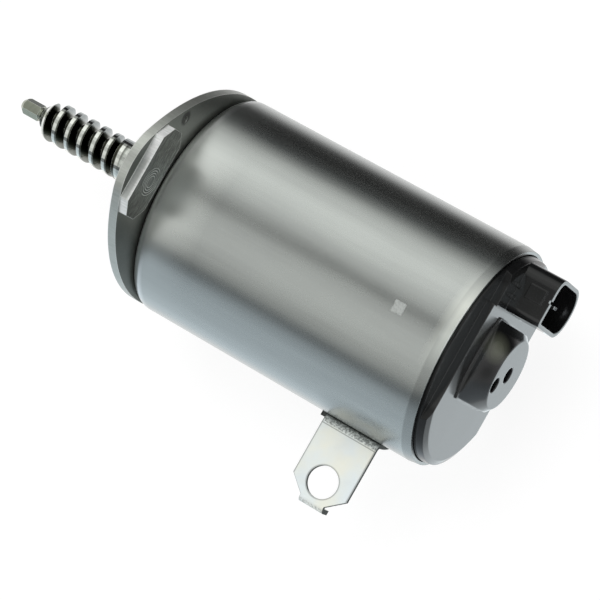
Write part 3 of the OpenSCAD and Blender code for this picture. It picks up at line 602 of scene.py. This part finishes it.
def bracket_surface():
    """Zinc plate under a thin passivated film: almost white, faintly clouded, with dark cut edges, painted
    shade on its bend and crease, and a painted shadow in the seam by the can.
    """
    blue_white, yellow_white, cloud_grey = (0.90, 0.97, 0.985), (1.0, 0.995, 0.87), (0.78, 0.80, 0.78)
    bend_shade_dark, bend_shade_light, tongue_grey = (0.28, 0.30, 0.285), (0.82, 0.86, 0.83), (0.62, 0.64, 0.61)
    crease_shade_dark, seam_shadow_black = (0.12, 0.13, 0.12), (0.02, 0.022, 0.02)
    outline_dark, cut_black = (0.14, 0.145, 0.14), (0.05, 0.055, 0.05)
    grain_height, edge_radius = 0.01 * MM, 0.15 * MM

    def build(tree):
        fine = tree.noise(900.0, 4.0, 0.6)
        cloud = tree.noise(140.0, 4.0, 0.6, distortion=0.5)
        tint = tree.noise(75.0, 3.0, 0.5, shift=(0.6, 0.2, 0.4))
        speckle = tree.fade(tree.noise(1900.0, 3.0, 0.6), (0.42, 0.58))

        crease = tree.fade(tree.apart(tree.place("Y"), BEND_Y), (0.2, 0.05))
        tongue = tree.zone("Y", (BRACKET_END_Y + 1.1, BRACKET_END_Y + 0.7))
        cut = tree.fade(tree.math("ABSOLUTE", tree.facing("X")), (0.35, 0.6))

        base = tree.mix(tree.fade(tint, (0.38, 0.62)), blue_white, yellow_white)
        base = tree.paint(base, cloud_grey, tree.fade(cloud, (0.5, 0.75)), 0.25)
        # painted shade: the bend, speckled, painted darker than the plate
        bent = tree.mix(speckle, bend_shade_dark, bend_shade_light)
        base = tree.mix(tree.zone("Y", (BEND_Y + 0.1, BEND_Y + 0.6)), base, bent)
        # painted shade in the crease of the bend
        base = tree.paint(base, crease_shade_dark, crease, 0.6)
        base = tree.paint(base, tongue_grey, tongue, speckle)
        # painted shadow in the seam between the bracket and the can
        base = tree.paint(base, seam_shadow_black, painted_seam_shadow(tree), 0.92)
        base = tree.paint(base, outline_dark, outline(tree), 0.55)
        base = tree.paint(base, cut_black, cut)
        return {
            "Base Color": base,
            "Roughness": tree.highest(tree.fade(cloud, NOISE_RANGE, (0.34, 0.5)), tree.times(cut, 0.8)),
            "Metallic": tree.fade(cut, FULL_RANGE, (0.25, 0.0)),
            "Normal": tree.bump(fine, grain_height, tree.rounded(edge_radius)),
        }

    return surface("bracket_zinc", build)


# Each plain metal and plastic: its dark and light colour, its range of roughness, and its own grain
METALS = {
    "screw_steel": ((0.14, 0.14, 0.145), (0.24, 0.24, 0.25), (0.3, 0.45), {}),
    "spring_steel": ((0.36, 0.36, 0.37), (0.5, 0.5, 0.51), (0.25, 0.38), {}),
    "bearing_steel": ((0.58, 0.58, 0.59), (0.68, 0.68, 0.69), (0.08, 0.16), {"bump": 0.003 * MM}),
    "ball_steel": ((0.72, 0.72, 0.73), (0.8, 0.8, 0.81), (0.04, 0.08), {"bump": 0.002 * MM}),
    "cage_brass": ((0.60, 0.42, 0.16), (0.72, 0.53, 0.24), (0.25, 0.4), {}),
    "shield_steel": ((0.42, 0.42, 0.43), (0.54, 0.54, 0.55), (0.28, 0.4), {}),
    "lamination_steel": ((0.17, 0.18, 0.19), (0.31, 0.32, 0.33), (0.35, 0.55),
                         {"grain": 300.0, "stretch": (18, 0.3, 0.3), "bump": 0.06 * MM}),
    "bar_copper": ((0.62, 0.26, 0.13), (0.78, 0.38, 0.21), (0.18, 0.34), {"stretch": (14, 1, 1)}),
    "washer_steel": ((0.42, 0.42, 0.43), (0.53, 0.53, 0.54), (0.25, 0.36), {}),
    "holder_brass": ((0.62, 0.44, 0.17), (0.74, 0.55, 0.25), (0.22, 0.34), {}),
    "tinned_metal": ((0.62, 0.62, 0.63), (0.75, 0.75, 0.76), (0.2, 0.32), {}),
    "bush_bronze": ((0.34, 0.22, 0.09), (0.48, 0.33, 0.15), (0.35, 0.55),
                    {"grain": 1500.0, "bump": 0.03 * MM}),
}
PLASTICS = {
    "ring_rubber": ((0.012, 0.012, 0.012), (0.022, 0.022, 0.021), (0.5, 0.65), {"bump": 0.02 * MM}),
    "lip_rubber": ((0.14, 0.055, 0.03), (0.20, 0.085, 0.045), (0.5, 0.62), {"bump": 0.02 * MM}),
    "slot_insulation": ((0.02, 0.10, 0.05), (0.03, 0.16, 0.08), (0.45, 0.6), {}),
    "hub_resin": ((0.09, 0.035, 0.016), (0.14, 0.06, 0.03), (0.4, 0.55), {}),
    "ferrite": ((0.035, 0.035, 0.037), (0.07, 0.07, 0.073), (0.5, 0.7),
                {"grain": 1200.0, "bump": 0.03 * MM}),
    "carrier_resin": ((0.02, 0.021, 0.021), (0.035, 0.036, 0.036), (0.4, 0.55), {}),
    "brush_carbon": ((0.02, 0.019, 0.018), (0.05, 0.045, 0.04), (0.45, 0.65),
                     {"grain": 1600.0, "bump": 0.02 * MM}),
}
MATERIALS = {
    "can_steel": can_surface(),
    "flange_steel": flange_surface(),
    "shaft_steel": shaft_surface(),
    "cap_plastic": cap_surface(),
    "bracket_zinc": bracket_surface(),
    "winding_copper": winding_surface(),
}
for make, rows in ((metal_surface, METALS), (plastic_surface, PLASTICS)):
    for name, (dark, light, rough, own) in rows.items():
        MATERIALS[name] = make(name, dark, light, rough, **own)

slot_of = {row["node"]: row["material_slot"] for row in frame["record"]["subparts"]}
for node_name, node_object in frame["nodes"].items():
    mesh = node_object.data
    mesh.materials.clear()
    mesh.materials.append(MATERIALS[slot_of[node_name]])


# Studio helpers
def sheet_mesh(name, points, faces, material):
    mesh = bpy.data.meshes.new(name)
    mesh.from_pydata(points, [], faces)
    made = bpy.data.objects.new(name, mesh)
    made.data.materials.append(material)
    scene.collection.objects.link(made)
    return made


def flat_sheet(name, x, y, z, material):
    """A level sheet, from x[0] to x[1] and from y[0] to y[1]."""
    corners = [(x[0], y[0], z), (x[1], y[0], z), (x[1], y[1], z), (x[0], y[1], z)]
    return sheet_mesh(name, corners, [(0, 1, 2, 3)], material)


def glossy_only(thing):
    """Leaves a thing to be seen in reflections only."""
    for kind in ("camera", "diffuse", "transmission", "volume_scatter", "shadow"):
        setattr(thing, "visible_" + kind, False)


def tinted(level, tint):
    return tuple(level * part for part in tint)


WHITE = (1.0, 1.0, 1.0)
COOL = (0.88, 1.0, 1.08)
GREEN = (0.975, 1.0, 0.97)

# Light tent, as rows of an angle in degrees, a brightness and a tint: 0 is up, and 90 the hood's side
TENT = [(-96, 0.60, COOL), (-80, 0.57, COOL), (-71, 0.45, COOL), (-65, 0.12, COOL), (-58, 0.08, COOL),
        (-53, 0.42, GREEN), (-40, 0.60, GREEN), (-26, 0.75, GREEN), (-10, 0.72, GREEN), (0, 0.62, GREEN),
        (5, 0.24, GREEN), (10, 0.24, GREEN), (17, 0.62, GREEN), (30, 0.86, GREEN), (48, 1.08, GREEN),
        (62, 0.88, GREEN), (73, 0.72, GREEN), (80, 0.34, GREEN), (87, 0.05, COOL), (96, 0.02, COOL)]
TENT_START, TENT_END = TENT[0][0], TENT[-1][0]
TENT_WIDTH = TENT_END - TENT_START
TENT_R = 0.45
TENT_X = (-0.6, 0.75)
TENT_STEPS = 48
TENT_POWER = 1.2


def tent_material():
    material, tree = new_material("tent_light")
    angle = tree.math("ARCTAN2", tree.place("Y"), tree.place("Z"))
    place = tree.fade(angle, (math.radians(TENT_START), math.radians(TENT_END)))
    stops = [((degrees - TENT_START) / TENT_WIDTH, tinted(level / TENT_POWER, tint))
             for degrees, level, tint in TENT]
    light = tree.add("ShaderNodeEmission", {"Color": tree.ramp(place, stops), "Strength": TENT_POWER})
    tree.close(light.outputs[0])
    return material


tent_points, tent_faces = [], []
for i in range(TENT_STEPS + 1):
    turn = math.radians(TENT_START + TENT_WIDTH * i / TENT_STEPS)
    for x in TENT_X:
        tent_points.append((x, TENT_R * math.sin(turn), TENT_R * math.cos(turn)))
    if i:
        tent_faces.append((2 * i - 2, 2 * i - 1, 2 * i + 1, 2 * i))
glossy_only(sheet_mesh("tent", tent_points, tent_faces, tent_material()))

# Floor, whose pool of light has rows of a place along Y, a share of POOL_POWER and a tint
FLOOR_Z = -(CAN_R + 0.8) * MM
FLOOR_HALF = 3
POOL_HALF = 500.0
POOL_POWER = 1.4
POOL = [(0.0, 0.42, COOL), (0.36, 0.46, COOL), (0.42, 0.52, COOL), (0.44, 0.60, COOL),
        (0.46, 0.74, WHITE), (0.54, 0.74, WHITE), (0.55, 0.60, WHITE), (0.56, 0.44, WHITE),
        (0.572, 0.12, WHITE), (0.588, 0.02, WHITE)]
SEEN_WHITE = 0.86
SHADOW_GREY = (0.2, 0.2, 0.2, 1.0)
BOUNCE_GREY = (0.8, 0.8, 0.8, 1.0)


def floor_material():
    """White with a faint shadow to the camera, and in reflections a pool of light with a dark edge."""
    material, tree = new_material("floor_white")
    ray = tree.add("ShaderNodeLightPath").outputs
    pool = tree.ramp(tree.zone("Y", (-POOL_HALF, POOL_HALF)),
                     [(place, tinted(level, tint)) for place, level, tint in POOL])
    pool_light = tree.add("ShaderNodeEmission", {"Color": pool, "Strength": POOL_POWER})
    white = tree.add("ShaderNodeEmission", {"Color": (*WHITE, 1.0), "Strength": SEEN_WHITE})
    shadowed = tree.add("ShaderNodeBsdfDiffuse", {"Color": SHADOW_GREY})
    seen = tree.add("ShaderNodeAddShader", {0: white.outputs[0], 1: shadowed.outputs[0]})
    plain = tree.add("ShaderNodeBsdfDiffuse", {"Color": BOUNCE_GREY})
    clear = tree.add("ShaderNodeBsdfTransparent")
    from_below = tree.add("ShaderNodeNewGeometry").outputs["Backfacing"]
    layers = ((ray["Is Camera Ray"], seen), (ray["Is Glossy Ray"], pool_light), (from_below, clear))
    shader = plain
    for factor, other in layers:
        shader = tree.add("ShaderNodeMixShader", {0: factor, 1: shader.outputs[0], 2: other.outputs[0]})
    tree.close(shader.outputs[0])
    return material


flat_sheet("floor", (-FLOOR_HALF, FLOOR_HALF), (-FLOOR_HALF, FLOOR_HALF), FLOOR_Z, floor_material())

# Reflectors: one just above the floor, seen in the cap's face, and one overhead, seen in the boss
REFLECTOR_WHITE = (0.92, 1.0, 1.03, 1.0)


def plain_light(name, level):
    material, tree = new_material(name)
    tree.close(tree.add("ShaderNodeEmission", {"Color": REFLECTOR_WHITE, "Strength": level}).outputs[0])
    return material


glossy_only(flat_sheet("cap_reflector", x=(0.089, 0.19), y=(-0.05, 0.034), z=FLOOR_Z + 0.4 * MM,
                       material=plain_light("reflector", 1.58)))
glossy_only(flat_sheet("boss_reflector", x=(0.17, 0.31), y=(-0.10, 0.10), z=0.40,
                       material=plain_light("soft_box", 1.9)))

# World: full white to the camera and in reflections, weaker as light on the surfaces
SOFT_LIGHT = 0.45

world = bpy.data.worlds.new("studio")
world.use_nodes = True
world.node_tree.nodes.clear()
sky = Tree(world.node_tree)
rays = sky.add("ShaderNodeLightPath").outputs
direct = sky.highest(rays["Is Camera Ray"], rays["Is Glossy Ray"], rays["Is Transmission Ray"])
strength = sky.fade(direct, FULL_RANGE, (SOFT_LIGHT, 1.0))
background = sky.add("ShaderNodeBackground", {"Color": (*WHITE, 1.0), "Strength": strength})
sky.feed(sky.add("ShaderNodeOutputWorld").inputs["Surface"], background.outputs[0])
scene.world = world

# Lamps, which add soft shadows and aren't seen in reflections
LAMP_TARGET = (0.02, 0, 0)


def area_lamp(name, place, size, power):
    data = bpy.data.lights.new(name, "AREA")
    data.shape = "SQUARE"
    data.size = size
    data.energy = power
    lamp = bpy.data.objects.new(name, data)
    scene.collection.objects.link(lamp)
    lamp.location = place
    lamp.rotation_mode = "QUATERNION"
    lamp.rotation_quaternion = (Vector(LAMP_TARGET) - Vector(place)).to_track_quat("-Z", "Y")
    lamp.visible_glossy = False


area_lamp("key", place=(-0.3, 0.5, 1.4), size=1.0, power=10.0)
area_lamp("fill", place=(0.9, -0.9, 0.9), size=0.9, power=5.0)
